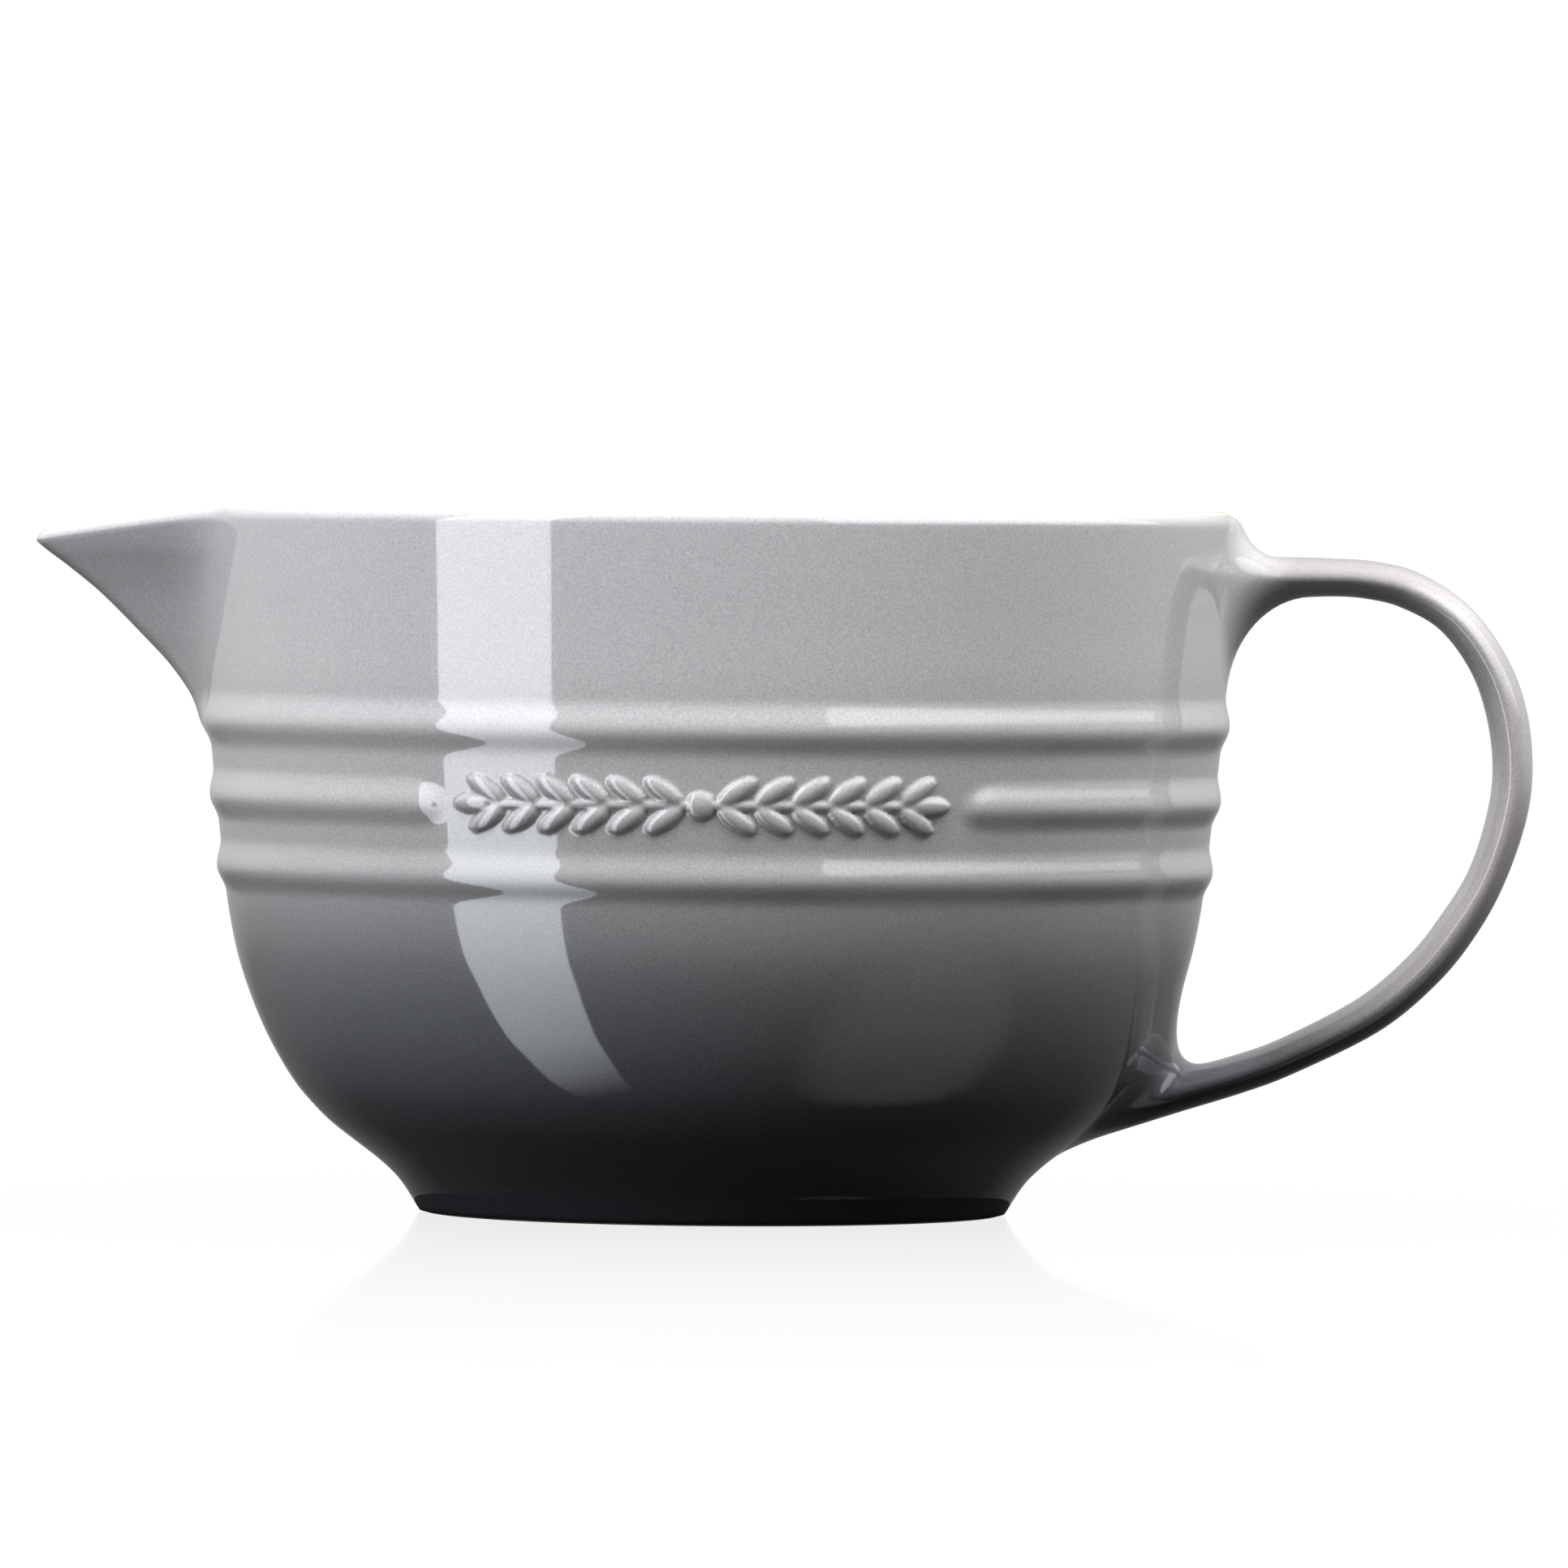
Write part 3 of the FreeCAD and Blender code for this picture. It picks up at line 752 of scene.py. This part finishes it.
# ---------------------------------------------------------------------- stage
def sheet(name, corners, material):
    mesh = bpy.data.meshes.new(name)
    mesh.from_pydata(corners, [], [tuple(range(len(corners)))])
    card = bpy.data.objects.new(name, mesh)
    bpy.context.scene.collection.objects.link(card)
    mesh.materials.append(material)
    return card


def value_ramp(nodes, links, value, low, high, stops):
    """A grey ramp over a range, as (place, value) stops in the range's own units."""
    share = nodes.new("ShaderNodeMapRange")
    share.inputs["From Min"].default_value = low
    share.inputs["From Max"].default_value = high
    links.new(value, share.inputs["Value"])
    top = max(amount for _place, amount in stops)
    node = ramp(nodes, [
        ((place - low) / (high - low), (amount / top,) * 3) for place, amount in stops
    ])
    links.new(share.outputs["Result"], node.inputs["Fac"])
    scaled = nodes.new("ShaderNodeMath")
    scaled.operation = "MULTIPLY"
    scaled.inputs[1].default_value = top
    links.new(node.outputs["Color"], scaled.inputs[0])
    return scaled.outputs[0]


def glow(name, height_stops, colour=(1, 1, 1)):
    """Emission whose strength follows (height, strength) stops."""
    material = bpy.data.materials.new(name)
    material.use_nodes = True
    nodes = material.node_tree.nodes
    links = material.node_tree.links
    nodes.remove(nodes["Principled BSDF"])
    place = nodes.new("ShaderNodeTexCoord")
    split = nodes.new("ShaderNodeSeparateXYZ")
    links.new(place.outputs["Object"], split.inputs[0])
    low, high = height_stops[0][0], height_stops[-1][0]
    light = nodes.new("ShaderNodeEmission")
    light.inputs["Color"].default_value = (*colour, 1)
    strength = value_ramp(nodes, links, split.outputs["Z"], low, high, height_stops)
    links.new(strength, light.inputs["Strength"])
    links.new(light.outputs[0], nodes["Material Output"].inputs[0])
    return material


def light_card(name, azimuth, distance, width, height_stops, colour=(1, 1, 1)):
    """An upright card of light. Azimuth 0 is the camera's side and + is to the right."""
    turn = math.radians(azimuth)
    middle = (math.sin(turn) * distance, -math.cos(turn) * distance)
    side = (math.cos(turn) * width / 2, math.sin(turn) * width / 2)
    low, high = height_stops[0][0], height_stops[-1][0]
    corners = [
        (middle[0] - side[0], middle[1] - side[1], low),
        (middle[0] + side[0], middle[1] + side[1], low),
        (middle[0] + side[0], middle[1] + side[1], high),
        (middle[0] - side[0], middle[1] - side[1], high),
    ]
    card = sheet(name, corners, glow(name, height_stops, colour))
    card.visible_camera = False
    return card


def floor_finish():
    """White floor that carries a faint reflection close round the bowl."""
    material = bpy.data.materials.new("studio_floor")
    material.use_nodes = True
    nodes = material.node_tree.nodes
    links = material.node_tree.links
    nodes.remove(nodes["Principled BSDF"])
    place = nodes.new("ShaderNodeTexCoord")
    away = nodes.new("ShaderNodeVectorMath")
    away.operation = "LENGTH"
    links.new(place.outputs["Object"], away.inputs[0])
    share = value_ramp(nodes, links, away.outputs["Value"], 0.05, 0.6, [
        (0.05, 0.36), (0.12, 0.27), (0.3, 0.11), (0.6, 0.0),
    ])
    # Brighter where it reflects more, so that the bare floor stays evenly white.
    strength = value_ramp(nodes, links, away.outputs["Value"], 0.05, 0.6, [
        (0.05, 1.27), (0.12, 1.18), (0.3, 1.07), (0.6, 1.02),
    ])
    white = nodes.new("ShaderNodeEmission")
    links.new(strength, white.inputs["Strength"])
    gloss = nodes.new("ShaderNodeBsdfGlossy")
    gloss.inputs["Roughness"].default_value = 0.04
    mix = nodes.new("ShaderNodeMixShader")
    links.new(share, mix.inputs["Fac"])
    links.new(white.outputs[0], mix.inputs[1])
    links.new(gloss.outputs[0], mix.inputs[2])
    links.new(mix.outputs[0], nodes["Material Output"].inputs[0])
    return material


FLOOR_HALF = 3.0
FLOOR_Z = -0.00005     # just clear of the foot, so that the two faces don't flicker
floor = sheet("floor", [
    (-FLOOR_HALF, -FLOOR_HALF, FLOOR_Z), (FLOOR_HALF, -FLOOR_HALF, FLOOR_Z),
    (FLOOR_HALF, FLOOR_HALF, FLOOR_Z), (-FLOOR_HALF, FLOOR_HALF, FLOOR_Z),
], floor_finish())
floor.visible_glossy = False
floor.visible_diffuse = False

# The table close round the foot is in shade, and only the glaze's reflections see it.
SHADE_RADIUS = 0.0585
SHADE_SIDES = 64
shade_turns = [2 * math.pi * k / SHADE_SIDES for k in range(SHADE_SIDES)]
shade = sheet("foot_shade", [
    (SHADE_RADIUS * math.cos(t), SHADE_RADIUS * math.sin(t), 2 * FLOOR_Z) for t in shade_turns
], clay("shaded_table", (0.02, 0.02, 0.022)))
shade.visible_camera = False
shade.visible_diffuse = False
shade.visible_shadow = False

# The cards' colour, and then for the left one its azimuth, distance and width.
COOL = (0.93, 0.975, 1.0)
STRIP = (-48.1, 1.2, 0.576)
left_strip = light_card("left_strip", *STRIP, [(0.0, 5.72), (1.6, 6.0)], COOL)
# The strip's image runs on below the table's height, but only as a reflection.
left_strip_foot = light_card("left_strip_foot", *STRIP, [
    (-2.6, 0.0), (-2.2, 0.4), (-1.9, 1.0), (-1.2, 3.0), (-0.5, 5.0), (-0.1, 5.7), (0.0, 5.72),
], COOL)
left_strip_foot.visible_diffuse = False
right_top = light_card("right_top", 72, 1.9, 3.9, [
    (0.4, 0.0), (0.75, 3.1), (1.4, 3.1), (3.6, 2.2),
], COOL)
right_top.visible_diffuse = False


def soft_lamp(name, azimuth, elevation, distance, width, tall, radiance):
    """A soft lamp that lights the bowl but isn't mirrored in its glaze."""
    data = bpy.data.lights.new(name, "AREA")
    data.shape = "RECTANGLE"
    data.size = width
    data.size_y = tall
    data.energy = radiance * math.pi * width * tall
    lamp = bpy.data.objects.new(name, data)
    bpy.context.scene.collection.objects.link(lamp)
    turn = math.radians(azimuth)
    rise = math.radians(elevation)
    lamp.location = (
        math.sin(turn) * math.cos(rise) * distance,
        -math.cos(turn) * math.cos(rise) * distance,
        0.08 + math.sin(rise) * distance,
    )
    lamp.rotation_euler = (math.pi / 2 - rise, 0, turn)
    lamp.visible_glossy = False
    return lamp


# Name, azimuth, elevation, distance, width, height, radiance.
soft_lamp("left_key", -50, 58, 1.5, 0.9, 1.3, 6.2)
soft_lamp("right_key", 62, 60, 1.5, 1.2, 1.2, 9.6)
soft_lamp("ceiling", 0, 66, 1.6, 1.5, 1.2, 2.2)

# A room that is bright above and behind, dark below and on the camera's side.
world = bpy.data.worlds.new("studio")
bpy.context.scene.world = world
world.use_nodes = True
sky_nodes = world.node_tree.nodes
sky_links = world.node_tree.links
way = sky_nodes.new("ShaderNodeTexCoord")
split = sky_nodes.new("ShaderNodeSeparateXYZ")
sky_links.new(way.outputs["Generated"], split.inputs[0])
above = value_ramp(sky_nodes, sky_links, split.outputs["Z"], -1, 1, [
    (-1, 0.03), (-0.5, 0.07), (-0.15, 0.28), (0.02, 1.0), (1, 1.0),
])
behind = value_ramp(sky_nodes, sky_links, split.outputs["Y"], -1, 1, [
    (-1, 0.06), (-0.3, 0.14), (0.1, 0.75), (0.6, 0.9), (1, 0.6),
])
room = sky_nodes.new("ShaderNodeMath")
room.operation = "MULTIPLY"
sky_links.new(above, room.inputs[0])
sky_links.new(behind, room.inputs[1])
seen = sky_nodes.new("ShaderNodeLightPath")
pick = sky_nodes.new("ShaderNodeMix")
pick.inputs["B"].default_value = 1.02
sky_links.new(seen.outputs["Is Camera Ray"], pick.inputs["Factor"])
# A weak round patch of light thrown back by the table on the right.
towards = sky_nodes.new("ShaderNodeVectorMath")
towards.operation = "DOT_PRODUCT"
towards.inputs[1].default_value = (0.641, -0.297, -0.707)
sky_links.new(way.outputs["Generated"], towards.inputs[0])
bounce = value_ramp(sky_nodes, sky_links, towards.outputs["Value"], -1, 1, [
    (-1, 0.0), (0.9, 0.0), (0.955, 0.3), (1, 0.4),
])
room_and_bounce = sky_nodes.new("ShaderNodeMath")
sky_links.new(room.outputs[0], room_and_bounce.inputs[0])
sky_links.new(bounce, room_and_bounce.inputs[1])
sky_links.new(room_and_bounce.outputs[0], pick.inputs["A"])
sky_nodes["Background"].inputs["Color"].default_value = (1, 1, 1, 1)
sky_links.new(pick.outputs["Result"], sky_nodes["Background"].inputs["Strength"])

# --------------------------------------------------------------------- camera
CAMERA_DISTANCE = 2.8
CAMERA_HEIGHT = 0.1335
CAMERA_AZIMUTH = math.radians(0.9)
AIM = (0.0126, 0.0, 0.0791)
LENS = 349
ROLL = -0.0085
camera_data = bpy.data.cameras.new("camera")
camera = bpy.data.objects.new("camera", camera_data)
bpy.context.scene.collection.objects.link(camera)
camera_data.sensor_width = 36
camera_data.lens = LENS
camera_data.clip_end = 50
camera.location = (
    math.sin(CAMERA_AZIMUTH) * CAMERA_DISTANCE + AIM[0],
    -math.cos(CAMERA_AZIMUTH) * CAMERA_DISTANCE,
    CAMERA_HEIGHT,
)
camera.rotation_mode = "QUATERNION"
direction = Vector(AIM) - camera.location
camera.rotation_quaternion = direction.to_track_quat("-Z", "Y")
camera.rotation_quaternion.rotate(
    Matrix.Rotation(ROLL, 4, direction.normalized()).to_quaternion()
)
bpy.context.scene.camera = camera
bpy.context.scene.view_settings.view_transform = "Standard"
